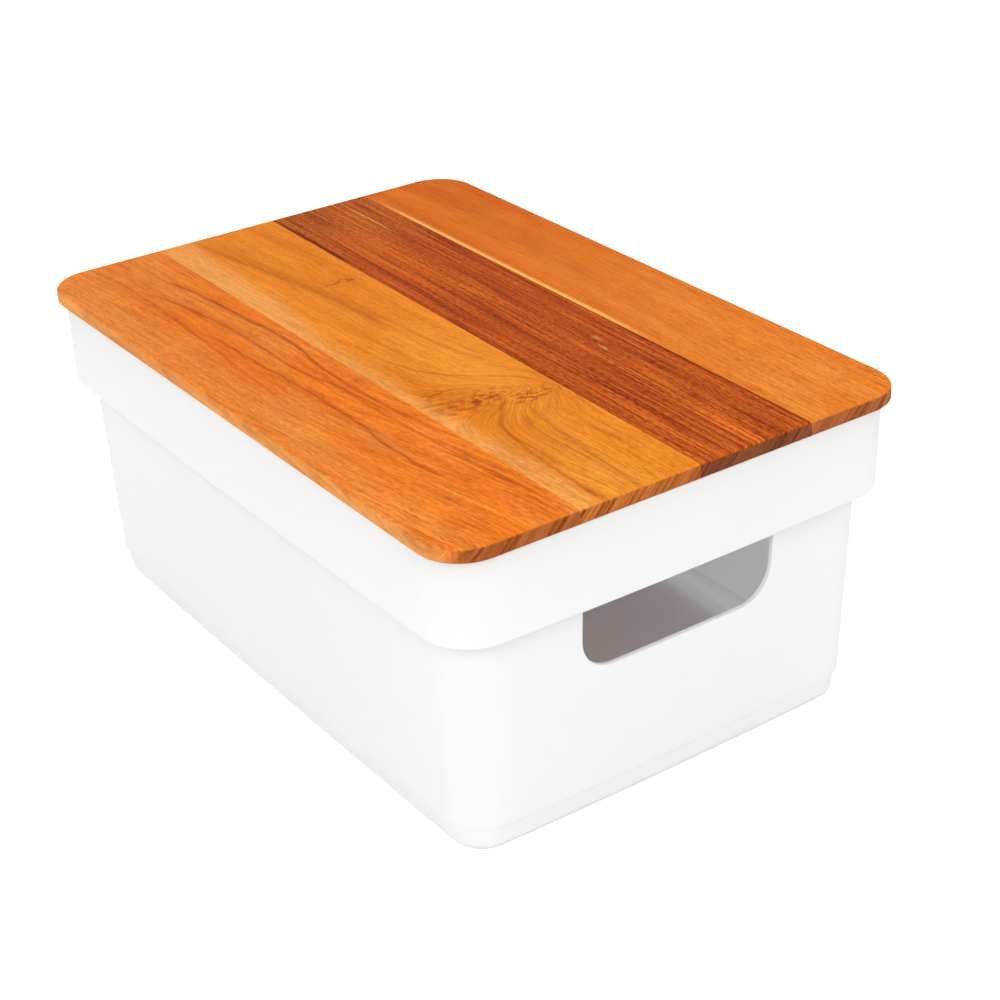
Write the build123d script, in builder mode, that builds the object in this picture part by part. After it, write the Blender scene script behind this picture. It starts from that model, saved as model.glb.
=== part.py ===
from build123d import *
import math
import os

# Storage box: a moulded tub with a stepped collar, two hand holes and a stacking foot,
# closed by a loose wooden lid of four glued staves on two battens.
# Millimetres. The origin is the middle of the base, X runs along the long side, Z is up.

# Lid board
lid_length = 265.0
lid_width = 181.0
lid_thickness = 5.0
lid_corner_radius = 16.0
lid_top_easing = 1.2
lid_bottom_bevel = 0.5

# Glue lines between the staves: how far each drifts from an even division, at each end
glue_drift_left = (2.9, 6.8, 4.1)
glue_drift_right = (1.6, 1.8, 1.6)

# Tub walls
tub_height = 112.0
wall = 2.0
lid_overhang = 1.8
rim_corner_radius = 17.5
rim_bevel = 0.5
side_crown = 0.9
end_crown = 1.5

# Collar round the top
collar_height = 31.0
collar_step = 5.4
collar_draft = 0.9
collar_edge_rounding = 1.0
collar_root_bevel = 0.6

# Body below the collar
body_corner_radius = 15.5
body_draft = 2.2

# Foot band and floor
foot_height = 9.2
foot_step = 1.4
foot_bevel = 0.5
base_rounding = 2.5
resting_ring_width = 6.5
floor_thickness = 2.0
floor_recess = 1.2
gate_dimple_radius = 5.0
gate_dimple_depth = 0.5

# Bevels inside the tub
shelf_bevel = 0.8
floor_bevel = 1.5

# Hand hole in each short end
hand_hole_width = 76.5
hand_hole_height = 25.5
hand_hole_drop = 1.5
hand_hole_lower_radius = 12.5
hand_hole_upper_radius = 2.0
hand_hole_bevel = 0.5

# Battens under the lid
batten_width = 18.0
batten_height = 9.0
batten_chamfer = 1.0
lid_clearance = 1.0

# Countersunk screws, one near each end of each batten
screw_radius = 1.5
screw_length = 12.0
screw_head_radius = 2.9
screw_head_recess = 0.3
screw_end_distance = 16.0
screw_clearance = 0.15
pilot_clearance = 0.05
pilot_end_gap = 0.2

# Directions, and how near a flat face's height must be to the one asked for
up = 1
down = -1
upside_down = (180, 0, 0)
level_tolerance = 0.1

# Heights and lengths that follow
collar_base = tub_height - collar_height
floor_top = floor_recess + floor_thickness
rim_length = lid_length - 2 * lid_overhang
rim_width = lid_width - 2 * lid_overhang
stave_count = len(glue_drift_left) + 1
stave_width = lid_width / stave_count
batten_base = tub_height - batten_height
screw_head_height = screw_head_radius - screw_radius
screw_base = batten_base + screw_head_recess
screw_tip = screw_base + screw_length


def inset(ring, distance):
    """A ring is a length, a width and a corner radius. Move it inwards by a distance."""
    length, width, radius = ring
    return length - 2 * distance, width - 2 * distance, radius - distance


def collar_ring(height):
    """Outside of the collar at a height."""
    rim = (rim_length, rim_width, rim_corner_radius)
    return inset(rim, (tub_height - height) * math.tan(math.radians(collar_draft)))


def body_ring(height):
    """Outside of the body at a height."""
    length, width, _ = inset(collar_ring(collar_base), collar_step)
    shoulder = (length, width, body_corner_radius)
    return inset(shoulder, (collar_base - height) * math.tan(math.radians(body_draft)))


def foot_ring(height):
    """Outside of the foot band at a height. It carries on the body's draft."""
    return inset(body_ring(height), foot_step)


def outline(ring, height=0.0):
    """Plan outline of the tub: each side bows out by its crown between rounded corners."""
    length, width, radius = ring
    x = length / 2
    y = width / 2
    with BuildSketch(Plane.XY.offset(height)) as plan:
        with BuildLine():
            ThreePointArc((x, -y), (x + end_crown, 0), (x, y))
            ThreePointArc((x, y), (0, y + side_crown), (-x, y))
            ThreePointArc((-x, y), (-x - end_crown, 0), (-x, -y))
            ThreePointArc((-x, -y), (0, -y - side_crown), (x, -y))
        make_face()
        fillet(plan.vertices(), radius)
    return plan.sketch


def stage(ring, bottom, top, angle, inward=0.0):
    """One stage of the tub, or the space in it: a block whose sides lean in below its top."""
    with BuildPart() as block:
        extrude(outline(inset(ring(top), inward), top), amount=bottom - top)
        sides = block.faces().filter_by(Plane.XY, reverse=True)
        draft(sides, Plane.XY.offset(top), -angle)
    return block.part


def level_edges(part, height, facing, inner=False):
    """Edges round the flat face at a height that faces up or down, or round its opening."""
    flat = part.faces().filter_by(Plane.XY)
    level = flat.filter_by(lambda face: abs(face.center().Z - height) < level_tolerance)
    face = level.filter_by(lambda face: face.normal_at().Z * facing > 0)[0]
    wire = face.inner_wires()[0] if inner else face.outer_wire()
    return wire.edges()


# Three drafted stages, and the same stages set in by the wall for the space inside
walls = (
    stage(foot_ring, 0, foot_height, body_draft),
    stage(body_ring, foot_height, collar_base, body_draft),
    stage(collar_ring, collar_base, tub_height, collar_draft),
)
spaces = (
    stage(foot_ring, floor_top, foot_height + wall, body_draft, wall),
    stage(body_ring, foot_height + wall, collar_base + wall, body_draft, wall),
    stage(collar_ring, collar_base + wall, tub_height, collar_draft, wall),
)

# Tub
with BuildPart() as tub:
    add(walls)
    add(spaces, mode=Mode.SUBTRACT)

    # Outside: rounded base and collar edge, bevelled foot and root of the collar
    fillet(level_edges(tub, 0, down), base_rounding)
    chamfer(level_edges(tub, foot_height, down), foot_bevel)
    chamfer(level_edges(tub, foot_height, down, inner=True), foot_bevel)
    fillet(level_edges(tub, collar_base, down), collar_edge_rounding)
    chamfer(level_edges(tub, collar_base, down, inner=True), collar_root_bevel)

    # Inside: bevelled floor, shelf and rim
    chamfer(level_edges(tub, floor_top, up), floor_bevel)
    chamfer(level_edges(tub, collar_base + wall, up, inner=True), shelf_bevel)
    chamfer(level_edges(tub, tub_height, up), rim_bevel)
    chamfer(level_edges(tub, tub_height, up, inner=True), rim_bevel)

    # Underside, set up inside the resting ring
    underside = outline(inset(foot_ring(0), resting_ring_width))
    extrude(underside, amount=floor_recess, mode=Mode.SUBTRACT)

    # Round dimple round the moulding gate
    with BuildSketch(Plane.XY.offset(floor_recess)):
        Circle(gate_dimple_radius)
    extrude(amount=gate_dimple_depth, mode=Mode.SUBTRACT)

    # Hand hole through both ends, flat along the top and round at its lower corners
    hole_top = collar_base - hand_hole_drop
    with BuildSketch(Plane.YZ) as hole:
        with Locations((0, hole_top - hand_hole_height / 2)):
            Rectangle(hand_hole_width, hand_hole_height)
        fillet(hole.vertices().group_by(Axis.Y)[0], hand_hole_lower_radius)
        fillet(hole.vertices().group_by(Axis.Y)[-1], hand_hole_upper_radius)
    extrude(amount=rim_length, both=True, mode=Mode.SUBTRACT)
    rims = tub.edges(Select.LAST).filter_by(Axis.X, reverse=True)
    chamfer(rims, hand_hole_bevel)

tub.part.label = "tub"


def glue_line(index, x):
    """Y of the line between two staves at x. The first and last lie outside the board."""
    even = index * stave_width - lid_width / 2
    if index in (0, stave_count):
        return 2 * even
    left = glue_drift_left[index - 1]
    right = glue_drift_right[index - 1]
    share = (x + lid_length / 2) / lid_length
    return even + left + (right - left) * share


# Space inside the rim that the battens may fill, with a clearance all round
seat_length, seat_width, seat_radius = inset(collar_ring(batten_base), wall + lid_clearance)
batten_x = seat_length / 2 - batten_width / 2
screw_y = seat_width / 2 - screw_end_distance
screw_points = [(x, y) for x in (-batten_x, batten_x) for y in (-screw_y, screw_y)]

# Whole board with eased edges and blind pilot holes, from which the staves are parted
with BuildPart() as board:
    with BuildSketch(Plane.XY.offset(tub_height)):
        RectangleRounded(lid_length, lid_width, lid_corner_radius)
    extrude(amount=lid_thickness)
    fillet(board.faces().sort_by(Axis.Z)[-1].edges(), lid_top_easing)
    chamfer(board.faces().sort_by(Axis.Z)[0].edges(), lid_bottom_bevel)
    with BuildSketch(Plane.XY.offset(tub_height)):
        with Locations(*screw_points):
            Circle(screw_radius + pilot_clearance)
    extrude(amount=screw_tip + pilot_end_gap - tub_height, mode=Mode.SUBTRACT)

# Staves: strips of the board between two glue lines
staves = []
for index in range(stave_count):
    with BuildPart() as stave:
        add(board.part)
        with BuildSketch(Plane.XY.offset(tub_height)):
            with BuildLine():
                Polyline(
                    (-lid_length, glue_line(index, -lid_length)),
                    (lid_length, glue_line(index, lid_length)),
                    (lid_length, glue_line(index + 1, lid_length)),
                    (-lid_length, glue_line(index + 1, -lid_length)),
                    close=True,
                )
            make_face()
        extrude(amount=lid_thickness, mode=Mode.INTERSECT)
    stave.part.label = f"lid_stave_{index + 1}"
    staves.append(stave.part)

# Battens: cross pieces whose outer corners follow the inside of the rim
battens = []
for name, side in (("batten_left", -1), ("batten_right", 1)):
    with BuildPart() as batten:
        with BuildSketch(Plane.XY.offset(batten_base)):
            RectangleRounded(seat_length, seat_width, seat_radius)
            with Locations((side * batten_x, 0)):
                Rectangle(batten_width, seat_width, mode=Mode.INTERSECT)
        extrude(amount=batten_height)
        chamfer(batten.faces().sort_by(Axis.Z)[0].edges(), batten_chamfer)
        holes = [(x, y, batten_base) for x, y in screw_points if x * side > 0]
        with Locations(*[Location(point, upside_down) for point in holes]):
            CounterSinkHole(
                screw_radius + screw_clearance,
                screw_head_radius + screw_clearance + screw_head_recess,
            )
    batten.part.label = name
    battens.append(batten.part)

# One screw, turned about its own axis: countersunk head below, shank above
with BuildPart() as screw:
    with BuildSketch(Plane.XZ):
        with BuildLine():
            Polyline(
                (0, screw_base),
                (screw_head_radius, screw_base),
                (screw_radius, screw_base + screw_head_height),
                (screw_radius, screw_tip),
                (0, screw_tip),
                close=True,
            )
        make_face()
    revolve(axis=Axis.Z)

with BuildPart() as batten_screws:
    with Locations(*screw_points):
        add(screw.part)
batten_screws.part.label = "batten_screws"

# One file for each named piece
os.makedirs("parts", exist_ok=True)
for piece in (tub.part, *staves, *battens, batten_screws.part):
    export_step(piece, f"parts/{piece.label}.step")
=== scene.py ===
import math

import bpy
from mathutils import Matrix, Vector


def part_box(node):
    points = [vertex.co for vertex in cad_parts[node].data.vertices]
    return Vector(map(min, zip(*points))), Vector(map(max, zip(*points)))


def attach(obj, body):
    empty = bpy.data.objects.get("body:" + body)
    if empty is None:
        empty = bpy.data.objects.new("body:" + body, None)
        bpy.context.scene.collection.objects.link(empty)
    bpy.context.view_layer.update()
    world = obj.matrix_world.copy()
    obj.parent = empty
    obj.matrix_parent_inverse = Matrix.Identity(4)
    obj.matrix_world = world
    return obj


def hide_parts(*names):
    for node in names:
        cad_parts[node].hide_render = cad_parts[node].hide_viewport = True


# Storage box: a white moulded tub with a loose lid of four glued staves on two battens.
# X runs along the long side, Z is up. The object's sizes and the camera's place are written in
# millimetres, and what lights it and lies under it in metres.
MM = 0.001

# Board of the lid
BOARD_LENGTH = 265.0
BOARD_WIDTH = 181.0
BOARD_THICKNESS = 5.0
BOARD_TOP = 117.0
BOARD_OVERHANG = 1.8

# Tub: the outside at the rim, then what each stage below it steps in
RIM_LENGTH = BOARD_LENGTH - 2 * BOARD_OVERHANG
RIM_WIDTH = BOARD_WIDTH - 2 * BOARD_OVERHANG
RIM_HEIGHT = BOARD_TOP - BOARD_THICKNESS
RIM_RADIUS = 17.5
SIDE_CROWN = 0.9
END_CROWN = 1.5
WALL = 2.0
COLLAR_HEIGHT = 31.0
COLLAR_BASE = RIM_HEIGHT - COLLAR_HEIGHT
COLLAR_STEP = 5.4
COLLAR_DRAFT = math.tan(math.radians(0.9))
BODY_RADIUS = 15.5
BODY_DRAFT = math.tan(math.radians(2.2))
FOOT_HEIGHT = 9.2
FOOT_STEP = 1.4
FLOOR_THICKNESS = 2.0
FLOOR_RECESS = 1.2
FLOOR_TOP = FLOOR_RECESS + FLOOR_THICKNESS
RESTING_RING = 6.5
GATE_RADIUS = 5.0
GATE_DEPTH = 0.5
GATE_TURN = math.radians(2.0)

# How far in from the rim the collar's lower edge lies, and the top of the body under it
COLLAR_INSET = COLLAR_HEIGHT * COLLAR_DRAFT
BODY_INSET = COLLAR_INSET + COLLAR_STEP

# How finely the tub's outline is stepped: round each corner, and along each side
CORNER_STEPS = 18.0
SIDE_STEPS = 10.0

# Points nearer to each other than this are one point
SAME_PLACE = 0.002

# Roundings of the tub, outside and then inside, and the steps of an arc and of a circle
BASE_ROUNDING = 2.5
FOOT_ROUNDING = 0.5
COLLAR_ROOT_ROUNDING = 0.6
COLLAR_EDGE_ROUNDING = 1.0
RIM_ROUNDING = 0.6
SHELF_ROUNDING = 0.8
LEDGE_ROUNDING = 0.5
FLOOR_ROUNDING = 1.8
ARC_STEPS = 5
CIRCLE_STEPS = 48

# Hand holes, and how the rims that cutting leaves are rounded
HOLE_WIDTH = 76.5
HOLE_HEIGHT = 25.5
HOLE_DROP = 1.5
HOLE_TOP = COLLAR_BASE - HOLE_DROP
HOLE_LOWER_RADIUS = 12.5
HOLE_UPPER_RADIUS = 2.0
HOLE_CORNER_STEPS = 12
HOLE_ROUNDING = 0.45
HOLE_ROUNDING_STEPS = 3
SHARP_ANGLE = math.radians(50)
FLAT_WALL_WEIGHT = 100

# Screws under the battens
SCREW_HEAD_RADIUS = 2.9
SCREW_RADIUS = 1.5
SCREW_TIP = 2.5
TIP_BLUNTNESS = 0.1
RECESS_LENGTH = 3.0
RECESS_WIDTH = 0.75
RECESS_DEPTH = 1.0
SCREW_SEED = 4

# Camera, from the photograph
VIEW_AZIMUTH = 55.474
VIEW_ELEVATION = 28.207
VIEW_ROLL = -2.166
CAMERA_PLACE = (564.23, -368.77, 410.95)
FOCAL_PIXELS = 2126.8
PICTURE_SIZE = 1000
SENSOR = 36.0
NEAREST_SEEN = 10.0

# Plastic: the share of the light that each face lets through, and its colour
PLASTIC_LIGHT = 0.37
PLASTIC_LIGHT_COLOUR = "F8FBFD"

# A Mix node's sockets for two colours, and its output for their mixture
MIX_COLOURS = (6, 7)
MIXED_COLOUR = 2

# Wood: how much grain darkens red, green and blue, and the least that it leaves of them
GRAIN_TINT = (0.72, 1.0, 1.2)
LEAST_SHADE = 0.1

# Wood: how far a face is turned to count as an end or a long edge, and the turn of the lower
# bevel, whose faces get painted shade
TURNED = (0.6, 0.9)
BEVEL_TURN = 0.7

# Light: an even sky, a brighter ring round it at a height, and one soft key lamp
SKY_STRENGTH = 0.57
RING_STRENGTH = 1.5
RING_HEIGHT = 0.44
RING_SPREAD = 0.22
KEY_PLACE = (1.25, -1.15, 1.65)
KEY_TARGET = (0, 0, 0.07)
KEY_SIZE = 0.8
KEY_WATTS = 10.5

# Floor: how it shines by itself near the object, and from where to where that grows to white
FLOOR_COLOUR = "F0F0F0"
FLOOR_REACH = 6.0
FLOOR_GLOW = 0.2
GLOW_NEAR = 0.4
GLOW_FAR = 3.0


class Signal:
    """A value that changes over a surface or a shape. Its operators add Math nodes."""

    def __init__(self, tree, socket):
        self.tree = tree
        self.socket = socket

    def math(self, operation, *terms):
        return self.tree.math(operation, self, *terms)

    def __add__(self, other):
        return self.tree.math("ADD", self, other)

    def __radd__(self, other):
        return self.tree.math("ADD", other, self)

    def __sub__(self, other):
        return self.tree.math("SUBTRACT", self, other)

    def __rsub__(self, other):
        return self.tree.math("SUBTRACT", other, self)

    def __mul__(self, other):
        return self.tree.math("MULTIPLY", self, other)

    def __rmul__(self, other):
        return self.tree.math("MULTIPLY", other, self)

    def __truediv__(self, other):
        return self.tree.math("DIVIDE", self, other)

    def __rtruediv__(self, other):
        return self.tree.math("DIVIDE", other, self)

    def __neg__(self):
        return self * -1

    def absolute(self):
        return self.math("ABSOLUTE")

    def clamp(self):
        return self.math("MAXIMUM", 0).math("MINIMUM", 1)

    def rise(self, low, high):
        """0 below low, 1 above high, with a smooth step between them."""
        steps = {"interpolation_type": "SMOOTHSTEP"}
        limits = {"Value": self, "From Min": low, "From Max": high}
        return self.tree.signal("ShaderNodeMapRange", steps, limits)

    def bell(self, width):
        """1 where the value is 0, falling to nothing at a few widths on both sides."""
        share = self / width
        return (share * share * -1).math("EXPONENT")

    def mix(self, other, factor):
        return self + (other - self) * factor


class Tree:
    """The nodes of one finish or one shape, added from plain Python."""

    def __init__(self, nodes):
        self.nodes = nodes

    def add(self, kind, settings=None, values=None):
        """Add a node: its settings are set first, and then its sockets' values or links."""
        node = self.nodes.nodes.new(kind)
        for name, value in (settings or {}).items():
            if name == "path":
                self.set_path(node.mapping, value)
            else:
                setattr(node, name, value)
        for name, value in (values or {}).items():
            self.feed(node.inputs[name], value)
        return node

    def feed(self, socket, value):
        if isinstance(value, Signal):
            self.nodes.links.new(value.socket, socket)
        elif isinstance(value, bpy.types.NodeSocket):
            self.nodes.links.new(value, socket)
        else:
            socket.default_value = value

    @staticmethod
    def set_path(mapping, points):
        curve = mapping.curves[0]
        while len(curve.points) < len(points):
            curve.points.new(1, 1)
        for point, place in zip(curve.points, points):
            point.location = place
            point.handle_type = "AUTO"
        mapping.update()

    def signal(self, kind, settings=None, values=None, output=0):
        return Signal(self, self.add(kind, settings, values).outputs[output])

    def math(self, operation, *terms):
        return self.signal("ShaderNodeMath", {"operation": operation}, dict(enumerate(terms)))

    def vector(self, x, y, z):
        return self.add("ShaderNodeCombineXYZ", {}, {"X": x, "Y": y, "Z": z}).outputs[0]


def linear(code):
    """A colour written as six hexadecimal digits, turned to linear light by the sRGB curve."""
    shades = [int(code[place : place + 2], 16) / 255 for place in (0, 2, 4)]
    light = [s / 12.92 if s <= 0.04045 else ((s + 0.055) / 1.055) ** 2.4 for s in shades]
    return (*light, 1.0)


# Shapes: what every shape tree needs


def shape_tree(name, sizes):
    """A Geometry Nodes tree that takes a shape and named sizes, and gives a shape."""
    nodes = bpy.data.node_groups.new(name, "GeometryNodeTree")
    nodes.interface.new_socket("Geometry", in_out="INPUT", socket_type="NodeSocketGeometry")
    for size in sizes:
        nodes.interface.new_socket(size, in_out="INPUT", socket_type="NodeSocketFloat")
    nodes.interface.new_socket("Material", in_out="INPUT", socket_type="NodeSocketMaterial")
    nodes.interface.new_socket("Geometry", in_out="OUTPUT", socket_type="NodeSocketGeometry")
    tree = Tree(nodes)
    given = tree.add("NodeGroupInput")
    signals = {size: Signal(tree, given.outputs[size]) for size in sizes}
    return tree, given, signals


def close_tree(tree, given, geometry):
    """End a shape in Realize Instances and Set Material."""
    solid = tree.add("GeometryNodeRealizeInstances", {}, {"Geometry": geometry})
    painted = tree.add(
        "GeometryNodeSetMaterial",
        {},
        {"Geometry": solid.outputs[0], "Material": given.outputs["Material"]},
    )
    end = tree.add("NodeGroupOutput")
    tree.feed(end.inputs["Geometry"], painted.outputs[0])


def cone(tree, bottom, top, height):
    """A cone, or a cylinder where both radii are the same, that stands on the origin."""
    sizes = {"Radius Bottom": bottom, "Radius Top": top, "Depth": height}
    node = tree.add("GeometryNodeMeshCone", {}, {"Vertices": CIRCLE_STEPS, **sizes})
    return node.outputs["Mesh"]


def lift(tree, geometry, height):
    """Move a shape up."""
    move = {"Geometry": geometry, "Translation": tree.vector(0, 0, height)}
    return tree.add("GeometryNodeTransform", {}, move).outputs["Geometry"]


def grow(name, tree, base, sizes, material, finishing=()):
    """Run a shape's tree on a base mesh, and keep the result as a plain mesh object."""
    maker = bpy.data.objects.new(name + "_maker", base)
    bpy.context.scene.collection.objects.link(maker)
    modifier = maker.modifiers.new("Shape", "NODES")
    modifier.node_group = tree.nodes
    for item in tree.nodes.interface.items_tree:
        if item.in_out == "INPUT" and item.name in sizes:
            modifier[item.identifier] = sizes[item.name]
        if item.in_out == "INPUT" and item.name == "Material":
            modifier[item.identifier] = material
    for finish in finishing:
        finish(maker)
    graph = bpy.context.evaluated_depsgraph_get()
    mesh = bpy.data.meshes.new_from_object(maker.evaluated_get(graph))
    mesh.name = name
    bpy.data.objects.remove(maker)
    piece = bpy.data.objects.new(name, mesh)
    bpy.context.scene.collection.objects.link(piece)
    return piece


# Shape of the tub


def rounded(corners):
    """Replace each corner of a profile, given with its rounding, by an arc."""
    points = []
    for before, corner, after in zip(corners, corners[1:], corners[2:]):
        here = Vector(corner[:2])
        back = (Vector(before[:2]) - here).normalized()
        ahead = (Vector(after[:2]) - here).normalized()
        half = back.angle(ahead) / 2
        middle = here + (back + ahead).normalized() * corner[3] / math.sin(half)
        start = here + back * corner[3] / math.tan(half) - middle
        end = here + ahead * corner[3] / math.tan(half) - middle
        turn = start.angle_signed(end)
        for step in range(ARC_STEPS + 1):
            spoke = start.copy()
            spoke.rotate(Matrix.Rotation(-turn * step / ARC_STEPS, 2))
            points.append((*(middle + spoke), corner[2]))
    return points


def tub_profile():
    """Section of the tub as points of (distance in from the rim, height, stage).

    The stage is 0 on the collar, 1 on the body and foot, and 2 at the middle of the floor.
    """

    def body(height):
        return BODY_INSET + (COLLAR_BASE - height) * BODY_DRAFT

    foot_inside = FOOT_HEIGHT + WALL
    shelf = COLLAR_BASE + WALL
    ring = body(0) + FOOT_STEP + RESTING_RING
    corners = (
        (RIM_WIDTH / 2, FLOOR_RECESS, 2, 0),
        (ring, FLOOR_RECESS, 1, LEDGE_ROUNDING),
        (ring, 0, 1, LEDGE_ROUNDING),
        (body(0) + FOOT_STEP, 0, 1, BASE_ROUNDING),
        (body(FOOT_HEIGHT) + FOOT_STEP, FOOT_HEIGHT, 1, FOOT_ROUNDING),
        (body(FOOT_HEIGHT), FOOT_HEIGHT, 1, FOOT_ROUNDING),
        (BODY_INSET, COLLAR_BASE, 1, COLLAR_ROOT_ROUNDING),
        (COLLAR_INSET, COLLAR_BASE, 0, COLLAR_EDGE_ROUNDING),
        (0, RIM_HEIGHT, 0, RIM_ROUNDING),
        (WALL, RIM_HEIGHT, 0, RIM_ROUNDING),
        (COLLAR_INSET + WALL, shelf, 0, LEDGE_ROUNDING),
        (body(shelf) + WALL, shelf, 1, SHELF_ROUNDING),
        (body(foot_inside) + WALL, foot_inside, 1, LEDGE_ROUNDING),
        (body(foot_inside) + FOOT_STEP + WALL, foot_inside, 1, LEDGE_ROUNDING),
        (body(FLOOR_TOP) + FOOT_STEP + WALL, FLOOR_TOP, 1, FLOOR_ROUNDING),
        (RIM_WIDTH / 2, FLOOR_TOP, 2, 0),
    )
    return [corners[0][:3], *rounded(corners), corners[-1][:3]]


def sample_profile(tree, profile, row):
    """Distance in from the rim, height and stage of one point of the profile."""
    place = tree.add("GeometryNodeInputPosition").outputs[0]
    point = tree.add(
        "GeometryNodeSampleIndex",
        {"data_type": "FLOAT_VECTOR", "domain": "POINT"},
        {"Geometry": profile, "Value": place, "Index": row},
    )
    section = tree.add("ShaderNodeSeparateXYZ", {}, {0: point.outputs[0]})
    return [Signal(tree, socket) for socket in section.outputs]


def outline_place(column, quarter, size):
    """Which corner's centre a column of the outline is measured from, and in which direction.

    The columns of each quarter go round a corner first, and then along the side after it. The
    centre is given by its signs, which slide from one corner's to the next along that side.
    """
    right_angle = math.pi / 2
    corner = (column / quarter).math("FLOOR")
    place = column - corner * quarter
    bend = (place / size["Corner Steps"]).math("MINIMUM", 1)
    along = ((place - size["Corner Steps"]) / size["Side Steps"]).math("MAXIMUM", 0)
    here = (corner + 0.5) * right_angle
    there = (corner + 1.5) * right_angle
    side_x = here.math("COSINE").math("SIGN").mix(there.math("COSINE").math("SIGN"), along)
    side_y = here.math("SINE").math("SIGN").mix(there.math("SINE").math("SIGN"), along)
    return side_x, side_y, (corner + bend) * right_angle


def tub_walls(tree, profile, size):
    """Carry the profile round the tub's outline."""
    # A flat sheet with one column for each place round the outline, and one row for each
    # point of the profile
    count = {"Geometry": profile}
    rows = tree.signal("GeometryNodeAttributeDomainSize", {"component": "MESH"}, count)
    quarter = size["Corner Steps"] + size["Side Steps"]
    counts = {"Vertices X": quarter * 4 + 1, "Vertices Y": rows}
    sheet = tree.add("GeometryNodeMeshGrid", {}, counts).outputs["Mesh"]
    index = tree.signal("GeometryNodeInputIndex")
    column = (index / rows).math("FLOOR")
    inward, height, stage = sample_profile(tree, profile, index - column * rows)
    side_x, side_y, turn = outline_place(column, quarter, size)

    # Out from the corner's centre, or in the middle of the floor where the stage is 2
    on_body = stage.math("MINIMUM", 1)
    reach = size["Rim Radius"].mix(size["Body Radius"] + size["Body Inset"], on_body)
    spoke = reach - inward
    spread = (2 - stage).math("MINIMUM", 1)
    half_length = size["Rim Length"] / 2
    half_width = size["Rim Width"] / 2
    x = ((half_length - reach) * side_x + turn.math("COSINE") * spoke) * spread
    y = ((half_width - reach) * side_y + turn.math("SINE") * spoke) * spread

    # Each side bows out by its crown
    lengthways = x / half_length
    across = y / half_width
    x = x + lengthways * size["End Crown"] * (1 - across * across)
    y = y + across * size["Side Crown"] * (1 - lengthways * lengthways)
    move = {"Geometry": sheet, "Position": tree.vector(x, y, height)}
    placed = tree.add("GeometryNodeSetPosition", {}, move).outputs["Geometry"]
    join = {"Geometry": placed, "Distance": SAME_PLACE * MM}
    return tree.add("GeometryNodeMergeByDistance", {}, join).outputs["Geometry"]


def hole_cutter(tree, size):
    """One bar of the hand hole's outline, right through both ends."""
    outline = tree.add(
        "GeometryNodeCurvePrimitiveQuadrilateral",
        {"mode": "RECTANGLE"},
        {"Width": size["Hole Width"], "Height": size["Hole Height"]},
    )

    # Along the bar, the outline's Y axis points down
    spot = tree.add("GeometryNodeInputPosition").outputs[0]
    lower = tree.signal("ShaderNodeSeparateXYZ", {}, {0: spot}, 1).math("GREATER_THAN", 0)
    softened = tree.add(
        "GeometryNodeFilletCurve",
        {"mode": "POLY"},
        {
            "Curve": outline.outputs[0],
            "Count": HOLE_CORNER_STEPS,
            "Radius": size["Hole Upper Radius"].mix(size["Hole Lower Radius"], lower),
        },
    )
    middle = size["Hole Top"] - size["Hole Height"] / 2
    start = tree.vector(-size["Rim Length"], 0, middle)
    end = tree.vector(size["Rim Length"], 0, middle)
    bar = tree.add(
        "GeometryNodeCurvePrimitiveLine", {"mode": "POINTS"}, {"Start": start, "End": end}
    )
    sweep = {"Curve": bar.outputs[0], "Profile Curve": softened.outputs[0], "Fill Caps": True}
    return tree.add("GeometryNodeCurveToMesh", {}, sweep).outputs["Mesh"]


def gate_cutter(tree, size):
    """Dimple round the moulding gate, from below, with sides that slope evenly.

    It is turned a little, so that its corners lie clear of the floor's own edges.
    """
    low_radius = size["Gate Radius"] + size["Floor Recess"]
    top_radius = size["Gate Radius"] - size["Gate Depth"]
    dimple = cone(tree, low_radius, top_radius, size["Floor Recess"] + size["Gate Depth"])
    turned = {"Geometry": dimple, "Rotation": (0, 0, GATE_TURN)}
    return tree.add("GeometryNodeTransform", {}, turned).outputs["Geometry"]


def tub_tree():
    """The tub's walls and floor, with the hand holes and the gate's dimple cut."""
    sizes = ("Rim Length", "Rim Width", "Rim Radius", "Body Radius", "Body Inset")
    sizes += ("End Crown", "Side Crown", "Corner Steps", "Side Steps")
    sizes += ("Hole Width", "Hole Height", "Hole Top", "Hole Lower Radius", "Hole Upper Radius")
    sizes += ("Gate Radius", "Gate Depth", "Floor Recess")
    tree, given, size = shape_tree("tub_shape", sizes)
    cut = tree.add("GeometryNodeMeshBoolean", {"operation": "DIFFERENCE", "solver": "MANIFOLD"})
    tree.feed(cut.inputs["Mesh 1"], tub_walls(tree, given.outputs["Geometry"], size))
    for cutter in (hole_cutter(tree, size), gate_cutter(tree, size)):
        tree.feed(cut.inputs["Mesh 2"], cutter)
    smooth = tree.add("GeometryNodeSetShadeSmooth", {}, {"Geometry": cut.outputs["Mesh"]})
    close_tree(tree, given, smooth.outputs[0])
    return tree


def ease_hole_rims(maker):
    """Round the sharp rims that cutting leaves, and keep flat walls looking flat."""
    bevel = maker.modifiers.new("Rims", "BEVEL")
    bevel.width = HOLE_ROUNDING * MM
    bevel.segments = HOLE_ROUNDING_STEPS
    bevel.limit_method = "ANGLE"
    bevel.angle_limit = SHARP_ANGLE
    weights = maker.modifiers.new("Normals", "WEIGHTED_NORMAL")
    weights.keep_sharp = True
    weights.weight = FLAT_WALL_WEIGHT


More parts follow.
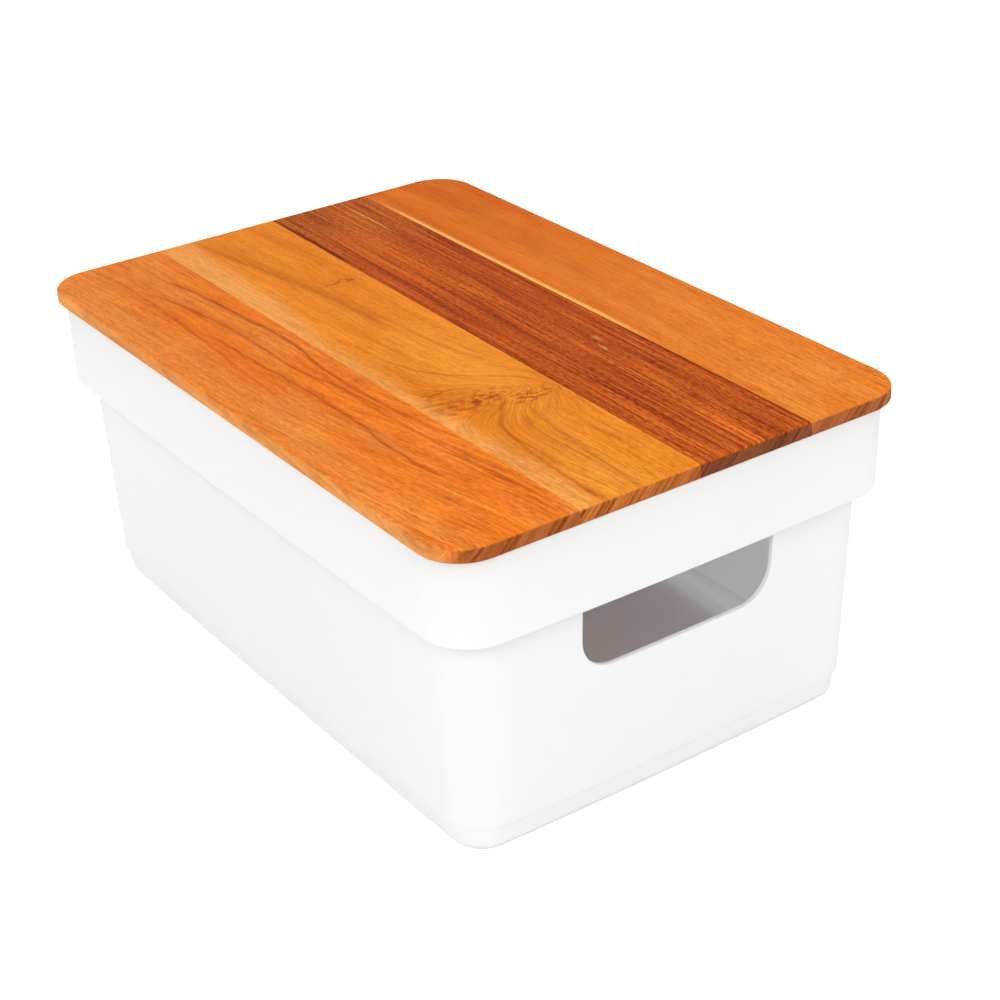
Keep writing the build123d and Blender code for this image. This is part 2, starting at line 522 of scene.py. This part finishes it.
def make_tub(material):
    base = bpy.data.meshes.new("tub_profile")
    points = [(inward * MM, height * MM, stage) for inward, height, stage in tub_profile()]
    base.from_pydata(points, [(i, i + 1) for i in range(len(points) - 1)], [])
    sizes = {
        "Rim Length": RIM_LENGTH * MM,
        "Rim Width": RIM_WIDTH * MM,
        "Rim Radius": RIM_RADIUS * MM,
        "Body Radius": BODY_RADIUS * MM,
        "Body Inset": BODY_INSET * MM,
        "End Crown": END_CROWN * MM,
        "Side Crown": SIDE_CROWN * MM,
        "Corner Steps": CORNER_STEPS,
        "Side Steps": SIDE_STEPS,
        "Hole Width": HOLE_WIDTH * MM,
        "Hole Height": HOLE_HEIGHT * MM,
        "Hole Top": HOLE_TOP * MM,
        "Hole Lower Radius": HOLE_LOWER_RADIUS * MM,
        "Hole Upper Radius": HOLE_UPPER_RADIUS * MM,
        "Gate Radius": GATE_RADIUS * MM,
        "Gate Depth": GATE_DEPTH * MM,
        "Floor Recess": FLOOR_RECESS * MM,
    }
    tub = grow("tub_shell", tub_tree(), base, sizes, material, (ease_hole_rims,))
    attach(tub, "tub")
    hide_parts("tub")


# Shape of the screws


def screw_tree():
    """One countersunk screw with a cross recess, set out at the corners of a rectangle."""
    sizes = ("Spread X", "Spread Y", "Head Height", "Length", "Head Radius", "Shank Radius")
    sizes += ("Tip Length", "Recess Length", "Recess Width", "Recess Depth")
    tree, given, size = shape_tree("screw_set", sizes)
    radius = size["Shank Radius"]
    straight = size["Length"] - size["Tip Length"]
    head = cone(tree, size["Head Radius"], radius, size["Head Radius"] - radius)
    shank = cone(tree, radius, radius, straight)
    tip = cone(tree, radius, radius * TIP_BLUNTNESS, size["Tip Length"])
    whole = tree.add("GeometryNodeMeshBoolean", {"operation": "UNION", "solver": "EXACT"})
    for part in (head, shank, lift(tree, tip, straight)):
        tree.feed(whole.inputs["Mesh 2"], part)
    driven = tree.add("GeometryNodeMeshBoolean", {"operation": "DIFFERENCE", "solver": "EXACT"})
    tree.feed(driven.inputs["Mesh 1"], whole.outputs["Mesh"])
    depth = size["Recess Depth"] * 2
    for length, width in (("Recess Length", "Recess Width"), ("Recess Width", "Recess Length")):
        bar = tree.add(
            "GeometryNodeMeshCube", {}, {"Size": tree.vector(size[length], size[width], depth)}
        )
        tree.feed(driven.inputs["Mesh 2"], bar.outputs["Mesh"])
    places = tree.add(
        "GeometryNodeMeshGrid",
        {},
        {
            "Size X": size["Spread X"],
            "Size Y": size["Spread Y"],
            "Vertices X": 2,
            "Vertices Y": 2,
        },
    )
    turned = tree.add(
        "FunctionNodeRandomValue",
        {"data_type": "FLOAT"},
        {"Min": 0.0, "Max": math.pi / 2, "Seed": SCREW_SEED},
    )
    angle = next(socket for socket in turned.outputs if socket.enabled)
    screws = tree.add(
        "GeometryNodeInstanceOnPoints",
        {},
        {
            "Points": lift(tree, places.outputs["Mesh"], size["Head Height"]),
            "Instance": driven.outputs["Mesh"],
            "Rotation": tree.vector(0, 0, Signal(tree, angle)),
        },
    )
    close_tree(tree, given, screws.outputs[0])
    return tree


def make_screws(material):
    low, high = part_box("batten_screws")
    sizes = {
        "Spread X": high.x - low.x - 2 * SCREW_HEAD_RADIUS * MM,
        "Spread Y": high.y - low.y - 2 * SCREW_HEAD_RADIUS * MM,
        "Head Height": low.z,
        "Length": high.z - low.z,
        "Head Radius": SCREW_HEAD_RADIUS * MM,
        "Shank Radius": SCREW_RADIUS * MM,
        "Tip Length": SCREW_TIP * MM,
        "Recess Length": RECESS_LENGTH * MM,
        "Recess Width": RECESS_WIDTH * MM,
        "Recess Depth": RECESS_DEPTH * MM,
    }
    empty = bpy.data.meshes.new("screw_start")
    screws = grow("batten_screw_set", screw_tree(), empty, sizes, material)
    for face in screws.data.polygons:
        face.use_smooth = False
    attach(screws, "lid")
    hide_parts("batten_screws")


# Finishes


class Finish(Tree):
    """A material: places on the surface in millimetres, patterns, and its closing shader."""

    def __init__(self, name):
        self.material = bpy.data.materials.new(name)
        self.material.use_nodes = True
        super().__init__(self.material.node_tree)
        self.nodes.nodes.clear()
        place = self.add("ShaderNodeTexCoord").outputs["Object"]
        parts = self.add("ShaderNodeSeparateXYZ", {}, {0: place})
        self.x, self.y, self.z = (Signal(self, socket) / MM for socket in parts.outputs)

    def places(self, size):
        """Places on the surface, counted in steps of one size."""
        return self.x / size, self.y / size, self.z / size

    def noise(self, x, y, z, seed, detail=2.0, roughness=0.5):
        """Cloudy pattern between 0 and 1, about one unit across."""
        return self.signal(
            "ShaderNodeTexNoise",
            {"noise_dimensions": "4D"},
            {
                "Vector": self.vector(x, y, z),
                "W": seed,
                "Scale": 1.0,
                "Detail": detail,
                "Roughness": roughness,
            },
        )

    def blend(self, factor, first, second, kind="MIX"):
        """Mix two colours, each a code or a socket."""
        settings = {"data_type": "RGBA", "blend_type": kind}
        node = self.add("ShaderNodeMix", settings, {0: factor})
        for place, colour in zip(MIX_COLOURS, (first, second)):
            self.feed(node.inputs[place], linear(colour) if isinstance(colour, str) else colour)
        return node.outputs[MIXED_COLOUR]

    def bump(self, height, distance, strength=1.0):
        return self.add(
            "ShaderNodeBump",
            {},
            {"Height": height, "Distance": distance * MM, "Strength": strength},
        ).outputs[0]

    def close(self, light_through=0.0, light_colour="FFFFFF", **sockets):
        """End in a Principled shader, and let a share of the light through to the other side.

        The shader's sockets are named with underscores for spaces.
        """
        values = {name.replace("_", " "): value for name, value in sockets.items()}
        shader = self.add("ShaderNodeBsdfPrincipled", {}, values).outputs[0]
        if light_through:
            through = self.add(
                "ShaderNodeBsdfTranslucent", {}, {"Color": linear(light_colour)}
            )
            both = {0: light_through, 1: shader, 2: through.outputs[0]}
            shader = self.add("ShaderNodeMixShader", {}, both).outputs[0]
        self.add("ShaderNodeOutputMaterial", {}, {"Surface": shader})
        return self.material


def tub_plastic():
    """White moulded plastic with a fine satin texture."""
    finish = Finish("white_satin_plastic")
    cloud = finish.noise(*finish.places(70), 3.0)
    grain = finish.noise(*finish.places(0.45), 8.0, detail=3.0, roughness=0.6)
    return finish.close(
        Base_Color=finish.blend(cloud, "FBFBFA", "FEFEFD"),
        Roughness=0.34 + cloud * 0.08 + grain * 0.05,
        Normal=finish.bump(grain, 0.006, 0.6),
        light_through=PLASTIC_LIGHT,
        light_colour=PLASTIC_LIGHT_COLOUR,
    )


def screw_steel():
    """Zinc-plated steel, with faint turning marks."""
    finish = Finish("zinc_plated_steel")
    x, y, z = finish.x, finish.y, finish.z
    marks = finish.noise(x / 0.3, y / 0.3, z / 0.08, 5.0, detail=3.0)
    return finish.close(
        Base_Color=finish.blend(marks, "B9BAB6", "D2D1CA"),
        Metallic=1.0,
        Roughness=0.28 + marks * 0.2,
        Normal=finish.bump(marks, 0.01),
    )


class Timber(Finish):
    """Solid wood: the pattern runs through the board, so that its ends show the same rings."""

    def __init__(self, name, seed, slant):
        super().__init__(name)
        self.seed = seed
        self.depth = BOARD_TOP - self.z
        self.across = self.y + self.depth * slant
        outward = self.add("ShaderNodeNewGeometry").outputs["True Normal"]
        facing = self.add("ShaderNodeSeparateXYZ", {}, {0: outward})
        self.end = Signal(self, facing.outputs[0]).absolute().rise(*TURNED)
        self.edge = Signal(self, facing.outputs[1]).absolute().rise(*TURNED)
        # Faces turned down like the lower bevel, which get painted shade
        self.bevel = (Signal(self, facing.outputs[2]) + BEVEL_TURN).bell(0.2)

    def cloud(self, length, width, seed):
        """Soft noise drawn out along the board."""
        return self.noise(
            self.x / length, self.y / width, self.depth / width, self.seed + seed, 1.0
        )

    def streaks(self, ring, length, width, seed, detail=2.0):
        """Noise drawn out along the grain, which keeps one shade along a ring."""
        return self.noise(
            self.x / length, ring / width, self.depth / (4 * width), self.seed + seed, detail
        )

    def late_wood(self, ring, length, width, sharp, seed):
        """Thin dark lines at uneven distances, that fade in and out."""
        field = self.streaks(ring, length, width, seed, 1.0)
        strength = self.cloud(55, 12, seed + 0.5).rise(0.4, 0.62)
        return (field - 0.5).absolute().bell(sharp) * strength

    def between(self, start, end, soft):
        """1 between two places along the board, fading out over a soft length."""
        return self.x.rise(start - soft, start + soft) * (
            1 - self.x.rise(end - soft, end + soft)
        )

    def path(self, points):
        """Place across the board of a smooth line through points of (x, y)."""
        low = min(y for _, y in points) - 1
        high = max(y for _, y in points) + 1
        half = BOARD_LENGTH / 2
        span = [((x + half) / BOARD_LENGTH, (y - low) / (high - low)) for x, y in points]
        along = {"Value": (self.x + half) / BOARD_LENGTH}
        return low + self.signal("ShaderNodeFloatCurve", {"path": span}, along) * (high - low)

    def line(self, points, thickness, soft=12):
        """One grain line through points of (x, y), fading out towards both of its ends."""
        wander = (self.cloud(7, 3, 60.0) - 0.5) * 1.6
        swell = 0.6 + self.cloud(22, 40, 61.0) * 0.8
        gap = self.across - self.path(points) + wander
        return gap.bell(swell * thickness) * self.between(points[0][0], points[-1][0], soft)

    def spot(self, x, y, length, width):
        """1 in the middle of an oval, falling to nothing round it."""
        along = (self.x - x) / length
        across = (self.y - y) / width
        return (-(along * along + across * across)).math("EXPONENT")

    def tint(self, colour, darkness):
        """Darken a colour as grain does, towards red and brown."""
        shades = [(1 - darkness * share).math("MAXIMUM", LEAST_SHADE) for share in GRAIN_TINT]
        shade = self.add("ShaderNodeCombineColor", {}, dict(enumerate(shades)))
        return self.blend(1.0, colour, shade.outputs[0], "MULTIPLY")

    def even(self, start, end):
        """A steady climb along the board: 0 at one place, 1 at the other."""
        return ((self.x - start) / (end - start)).clamp()

    def finish_board(self, colour, end_colour, ring, texture=1.0, stretch=1.0):
        """Fine grain over the board's own colour, ringed ends and an oiled surface, with painted
        light that pales each board towards its right end and painted shade on its lower bevel.
        """
        coarse = self.streaks(ring, 28 * stretch, 1.7, 30.0) - 0.5
        fibre = self.streaks(ring, 11 * stretch, 0.95, 31.0) - 0.5
        fine = self.streaks(ring, 2.8, 0.5, 37.0) - 0.5
        pore = self.streaks(ring, 3, 0.4, 41.0, 1.0).rise(0.6, 0.76)
        grain = coarse * 0.38 + fibre * 0.66 + fine * 0.7 + pore * 0.24
        # Painted light: every board is darkened at its left end and paled at its right end,
        # standing in for light that is brighter towards the right
        painted_light_ramp = 0.05 - self.even(-130, 130) * 0.09
        shaded = self.tint(colour, grain * texture + painted_light_ramp)

        # Ends: rings cross them aslant, closed in by the pores of cut fibres
        rings = self.noise(
            (self.y + self.depth * 0.9) / 1.4, 0.0, self.x / 20, self.seed + 45.0, 1.0
        )
        specks = self.noise(self.x / 0.6, self.y / 0.6, self.depth / 0.6, self.seed + 46.0)
        cut = self.tint(end_colour, (rings - 0.5) * 3.0 + (specks - 0.5) * 1.2)
        long_edge = self.tint("D2985A", coarse * 0.9 + fibre * 0.6)
        sided = self.blend(self.edge * 0.5, shaded, long_edge)
        ended = self.blend(self.end * 0.94, sided, cut)
        # Painted shade: faces turned down, as on the lower bevel, are darkened for the shadow
        # along the lid's lower edge
        bevel_shaded = self.tint(ended, self.bevel * 0.45)
        height = pore * -1.0 + fibre * 0.8 + coarse * 0.5
        return self.close(
            Base_Color=bevel_shaded,
            Roughness=0.52 + fibre * 0.2 + pore * 0.15 + self.end * 0.2,
            Normal=self.bump(height, 0.035, 0.6),
            Specular_IOR_Level=0.02,
        )


def stave_1():
    """Orange stave at the front, whose grain lines climb to the right."""
    wood = Timber("oiled_teak_front", 11.0, 0.5)
    wave = wood.cloud(60, 26, 12.0) - 0.5
    climb = wood.x * 0.06 + wood.x.rise(10, 160) * 9
    ring = wood.across - climb + wave * 7
    broad = wood.streaks(ring, 240, 8, 1.0).rise(0.32, 0.68)
    colour = wood.blend(broad, "CB6314", "DF751D")
    colour = wood.blend(wood.x.rise(20, 150) * 0.5, colour, "E47818")
    tan = wood.cloud(60, 12, 7.0).rise(0.45, 0.68) * 0.5
    tan = tan + (1 - wood.x.rise(-130, -50)) * 0.4 + (1 - wood.across.rise(-86, -68)) * 0.55
    colour = wood.blend(tan.clamp() * 0.75, colour, "DA863C")
    red = wood.streaks(ring, 90, 2.6, 3.0).rise(0.5, 0.78) * wood.cloud(40, 15, 4.0).rise(0.4, 0.6)
    colour = wood.blend(red * 0.6, colour, "C85413")
    light = wood.streaks(ring, 45, 1.6, 5.0).rise(0.56, 0.76)
    colour = wood.blend(light * 0.4, colour, "E6913F")
    upper = ((-105, -55.5), (-80, -51.4), (-53, -49.3), (-24, -47.6), (1, -50.3), (50, -48))
    middle = ((-90, -63.9), (-72, -60.3), (-40, -57.6), (-9, -57.6), (14, -53.8), (45, -51))
    right = ((20, -54), (74, -51.5), (105, -48.5), (131, -45.4))
    lower = ((-43, -66), (-15, -64.9), (14, -63.3), (45, -63), (60, -64.6), (90, -62))
    left = ((-128, -72), (-98, -68.5), (-60, -69.5), (-20, -72))
    dark = wood.line(upper, 0.8) + wood.line(middle, 0.6) * 0.9 + wood.line(lower, 0.6) * 0.9
    dark = dark + wood.line(right, 0.6) * 0.7 + wood.line(left, 0.8) * 0.5
    dark = dark + wood.late_wood(ring, 150, 3.4, 0.02, 2.0) * 0.4
    dark = dark + wood.late_wood(ring, 60, 1.8, 0.03, 8.0) * wood.even(20, 110) * 0.7
    colour = wood.tint(colour, dark.math("MINIMUM", 1) * 0.48)
    return wood.finish_board(colour, "904E25", ring, 1.2 + wood.even(-130, 130) * 0.7)


def stave_2():
    """Golden stave with a knot, round which the grain flows, and pale sapwood at one edge."""
    wood = Timber("oiled_teak_knot", 23.0, 0.5)
    wave = wood.cloud(55, 18, 25.0) - 0.5
    across = (wood.across + 44) / 36
    along = (wood.x - 53) / 14
    reach = (across * across + along * along).math("MAXIMUM", 0.25)
    flow = across * (1 - 1 / (1 + reach * reach)) * 36 - 44
    ring = flow - wood.x * 0.04 + wave * 7
    broad = wood.streaks(ring, 160, 7, 1.0).rise(0.32, 0.68)
    colour = wood.blend(broad, "CF7214", "DE8220")
    amber = wood.cloud(30, 11, 6.0).rise(0.45, 0.7) * 0.5 + wood.spot(-45, -8, 40, 8) * 0.7
    colour = wood.blend(amber.clamp() * 0.7, colour, "D56E08")
    gold = wood.spot(30, -12, 45, 13) + wood.spot(122, -24, 32, 12)
    colour = wood.blend(gold * 0.5, colour, "E99A37")
    edge = ((-132, -31), (-70, -32), (-30, -37), (10, -38.5), (50, -38.5), (90, -36), (132, -38))
    sap = 1 - (wood.across - wood.path(edge) + wave * 4).rise(-4, 5)
    colour = wood.blend(sap * (0.55 + broad * 0.25), colour, "DF9A50")
    cloudy = ((-131, -24), (-101, -20.5), (-60, -16), (-20, -13))
    brown = wood.line(cloudy, 4.5) + wood.spot(100, -22, 40, 4) * 0.5
    colour = wood.tint(colour, brown * 0.17)
    sweep = ((-131, -28.4), (-101, -24.2), (-49, -16.5), (-15, -15))
    rising = ((-2, -31.5), (14, -29.4), (28, -23.2), (35, -17), (42, -9), (50, -2), (58, 1))
    falling = ((60, -19), (67, -25), (76, -30), (97, -33), (131, -34.6))
    beyond = ((62, -13), (90, -17.5), (131, -21))
    dark = wood.line(sweep, 1.6) * 0.6 + wood.line(rising, 0.7, 14) * 0.7
    dark = dark + wood.line(falling, 0.8, 8) * 0.8 + wood.line(beyond, 1.2) * 0.5
    dark = dark + wood.late_wood(ring, 130, 5.0, 0.018, 2.0) * 0.35
    dark = dark + wood.late_wood(ring, 50, 2.2, 0.03, 8.0) * wood.even(0, 60) * 0.5

    # Marks of the knot: a cluster at its core, and curled fibres beside it
    curl = wood.noise(wood.x / 2.3, wood.y / 3.4, wood.depth / 3, 27.0, 3.0, 0.6).rise(0.46, 0.56)
    fleck = wood.noise(wood.x / 1.3, wood.y / 3.4, wood.depth / 2, 28.0, 2.0).rise(0.48, 0.58)
    core = wood.spot(53, -24, 6, 12) + wood.spot(51, -36, 9, 3) * 0.5
    beside = wood.spot(41, -31, 3.4, 6) * 0.6 + wood.spot(61, -9, 4, 9)
    beside = beside + wood.spot(-60.5, -6, 2.2, 6) * 1.5
    marks = core * curl + beside * fleck * 1.2
    colour = wood.tint(colour, dark.math("MINIMUM", 1) * 0.42 + core * 0.08)
    colour = wood.blend(marks.math("MINIMUM", 1) * 0.88, colour, "983A0A")
    texture = 0.95 + wood.even(-60, 130) * 0.7 - wood.spot(75, -28, 16, 13) * 0.6
    return wood.finish_board(colour, "A05929", ring, texture)


def stave_3():
    """Dark brown stave with straight streaks."""
    wood = Timber("oiled_teak_dark", 37.0, 0.7)
    wave = wood.cloud(80, 20, 39.0) - 0.5
    ring = wood.across + wood.x * 0.02 + wave * 2.4
    broad = wood.streaks(ring, 260, 6, 1.0).rise(0.32, 0.68)
    colour = wood.blend(broad, "9C3C07", "B34F0D")
    belt = (wood.across - 27).bell(5) * 0.6 + wood.even(30, 140) * 0.4
    colour = wood.blend(belt.clamp() * 0.6, colour, "C86217")
    olive = (1 - wood.x.rise(-130, -60)) * 0.5
    colour = wood.blend(olive, colour, "A75C1B")
    light = wood.streaks(ring, 70, 1.6, 3.0).rise(0.5, 0.7)
    colour = wood.blend(light * 0.5, colour, "CD6920")
    joint = ((30, 47.5), (80, 46.9), (131, 46.2))
    low_line = ((-10, 12.4), (45, 12), (90, 14), (131, 13.4))
    ink = ((-128, 7.2), (-98, 7), (-74, 4.6))
    far = ((-10, 21.5), (20, 19), (60, 17.5), (90, 17))
    dark = wood.line(joint, 0.9) + wood.line(low_line, 0.9) + wood.line(far, 0.8) * 0.8
    dark = dark + wood.late_wood(ring, 120, 2.2, 0.03, 2.0) * 0.9
    dark = dark + wood.late_wood(ring, 70, 1.5, 0.04, 8.0) * 0.7
    dark = dark + wood.spot(95, 31, 5, 1.6) + wood.spot(-118, 20, 10, 2.5) * 0.5
    colour = wood.tint(colour, dark.math("MINIMUM", 1) * (0.42 + wood.even(-60, 130) * 0.14))
    colour = wood.tint(colour, wood.line(ink, 1.0, 8) * 0.85)
    flecks = wood.spot(39, 35, 2.4, 0.7) + wood.spot(47, 32, 3, 0.6)
    pale = wood.line(((-131, 37.6), (-112, 37.3), (-92, 36.9)), 0.45) * 0.7 + flecks * 0.5
    colour = wood.blend(pale.math("MINIMUM", 1), colour, "EDA657")
    return wood.finish_board(colour, "6F3C27", ring, 3.2 + wood.even(-60, 130) * 1.2, 4.5)


def stave_4():
    """Plain mid-orange stave at the back, with a pale line of sapwood along its joint."""
    wood = Timber("oiled_teak_back", 53.0, 0.4)
    wave = wood.cloud(80, 30, 55.0) - 0.5
    ring = wood.across + wood.x * 0.03 + wave * 6
    broad = wood.streaks(ring, 240, 9, 1.0).rise(0.3, 0.7)
    colour = wood.blend(broad, "C25A0B", "CF6812")
    shadow = wood.cloud(38, 16, 4.0).rise(0.5, 0.75)
    colour = wood.tint(colour, shadow * 0.1 + wood.late_wood(ring, 160, 5.0, 0.02, 2.0) * 0.1)
    colour = wood.blend(wood.even(-90, 70) * 0.6, colour, "DA7D28")
    tan = wood.cloud(45, 9, 7.0).rise(0.45, 0.7) * (0.15 + wood.even(0, 120) * 0.2)
    colour = wood.blend(tan, colour, "DE913E")
    joint = wood.path(((-132, 49.3), (0, 48.1), (132, 46.9)))
    pale = (wood.y - joint - 0.8).bell(1.0) * wood.between(-110, 40, 20)
    colour = wood.blend(pale * 0.85, colour, "F7B85F")
    return wood.finish_board(colour, "92512F", ring, 0.75 + wood.even(-20, 110) * 0.9)


def batten_wood():
    """Plain teak battens, which run across the board."""
    wood = Timber("oiled_teak_batten", 71.0, 0.5)
    wood.x, wood.y = wood.y, wood.x
    wood.end, wood.edge = wood.edge, wood.end
    wood.across = wood.y + wood.depth * 0.5
    ring = wood.across + (wood.cloud(60, 20, 72.0) - 0.5) * 5
    broad = wood.streaks(ring, 200, 5, 1.0).rise(0.3, 0.7)
    colour = wood.blend(broad, "C26222", "D9822F")
    colour = wood.tint(colour, wood.late_wood(ring, 160, 3.0, 0.03, 2.0) * 0.3)
    return wood.finish_board(colour, "8A4A1E", ring)


def coat(node, material):
    """Give a piece of the model its finish."""
    if not node.material_slots:
        node.data.materials.append(material)
    for slot in node.material_slots:
        slot.material = material


# Stage, light and camera


def seen_directly(tree):
    """1 for what the eye, a reflection or a clear material sees, 0 for light on the object."""
    path = tree.add("ShaderNodeLightPath")
    camera, glossy, clear = (
        Signal(tree, path.outputs[name])
        for name in ("Is Camera Ray", "Is Glossy Ray", "Is Transmission Ray")
    )
    return camera.math("MAXIMUM", glossy).math("MAXIMUM", clear)


def make_floor():
    """A white floor that keeps the object's shadow, and grows to plain white round it."""
    mesh = bpy.data.meshes.new("floor")
    signs = ((-1, -1), (1, -1), (1, 1), (-1, 1))
    corners = [(x * FLOOR_REACH, y * FLOOR_REACH, 0) for x, y in signs]
    mesh.from_pydata(corners, [], [(0, 1, 2, 3)])
    floor = bpy.data.objects.new("floor", mesh)
    bpy.context.scene.collection.objects.link(floor)
    material = bpy.data.materials.new("white_floor")
    material.use_nodes = True
    tree = Tree(material.node_tree)
    tree.nodes.nodes.clear()
    paper = tree.add("ShaderNodeBsdfDiffuse", {}, {"Color": linear(FLOOR_COLOUR)})
    place = tree.add("ShaderNodeTexCoord").outputs["Object"]
    away = tree.signal("ShaderNodeVectorMath", {"operation": "LENGTH"}, {0: place}, 1)
    level = FLOOR_GLOW + away.rise(GLOW_NEAR, GLOW_FAR) * (1 - FLOOR_GLOW)
    glow = tree.add("ShaderNodeEmission", {}, {"Strength": seen_directly(tree) * level})
    both = tree.add("ShaderNodeAddShader", {}, {0: paper.outputs[0], 1: glow.outputs[0]})
    tree.add("ShaderNodeOutputMaterial", {}, {"Surface": both.outputs[0]})
    coat(floor, material)


def make_world():
    """A white world, whose light on the object is brighter in a ring round it."""
    world = bpy.data.worlds.new("white_world")
    world.use_nodes = True
    bpy.context.scene.world = world
    tree = Tree(world.node_tree)
    tree.nodes.nodes.clear()
    direction = tree.add("ShaderNodeTexCoord").outputs["Generated"]
    height = tree.signal("ShaderNodeSeparateXYZ", {}, {0: direction}, 2)
    ring = (height - RING_HEIGHT).bell(RING_SPREAD) * RING_STRENGTH
    strength = (ring + SKY_STRENGTH).mix(1, seen_directly(tree))
    sky = tree.add("ShaderNodeBackground", {}, {"Color": (1, 1, 1, 1), "Strength": strength})
    tree.add("ShaderNodeOutputWorld", {}, {"Surface": sky.outputs[0]})


def make_key_light():
    """One large soft lamp, towards the corner that the camera sees."""
    light = bpy.data.lights.new("key_softbox", "AREA")
    light.shape = "RECTANGLE"
    light.size = KEY_SIZE
    light.size_y = KEY_SIZE
    light.energy = KEY_WATTS
    lamp = bpy.data.objects.new("key_softbox", light)
    bpy.context.scene.collection.objects.link(lamp)
    lamp.location = KEY_PLACE
    aim = Vector(KEY_TARGET) - Vector(KEY_PLACE)
    lamp.rotation_euler = aim.to_track_quat("-Z", "Y").to_euler()


def make_camera():
    """The camera that was fitted to the photograph."""
    data = bpy.data.cameras.new("camera")
    data.sensor_width = SENSOR
    data.lens = FOCAL_PIXELS / PICTURE_SIZE * SENSOR
    data.clip_start = NEAREST_SEEN * MM
    camera = bpy.data.objects.new("camera", data)
    bpy.context.scene.collection.objects.link(camera)
    turn = Matrix.Rotation(math.radians(VIEW_AZIMUTH), 4, "Z")
    tilt = Matrix.Rotation(math.radians(90 - VIEW_ELEVATION), 4, "X")
    roll = Matrix.Rotation(math.radians(VIEW_ROLL), 4, "Z")
    place = Matrix.Translation(Vector(CAMERA_PLACE) * MM)
    camera.matrix_world = place @ turn @ tilt @ roll
    bpy.context.scene.camera = camera


# Assembly

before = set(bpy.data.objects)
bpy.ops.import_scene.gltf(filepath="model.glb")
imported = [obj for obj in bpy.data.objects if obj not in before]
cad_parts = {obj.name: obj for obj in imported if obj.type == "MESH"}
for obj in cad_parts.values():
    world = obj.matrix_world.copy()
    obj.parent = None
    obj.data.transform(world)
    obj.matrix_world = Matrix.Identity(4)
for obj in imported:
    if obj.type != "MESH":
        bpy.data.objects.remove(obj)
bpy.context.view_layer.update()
bpy.context.scene.view_settings.view_transform = "Standard"

make_tub(tub_plastic())
make_screws(screw_steel())
for stave, finish in enumerate((stave_1, stave_2, stave_3, stave_4), start=1):
    coat(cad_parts[f"lid_stave_{stave}"], finish())
teak = batten_wood()
for side in ("left", "right"):
    coat(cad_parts[f"batten_{side}"], teak)

make_floor()
make_world()
make_key_light()
make_camera()
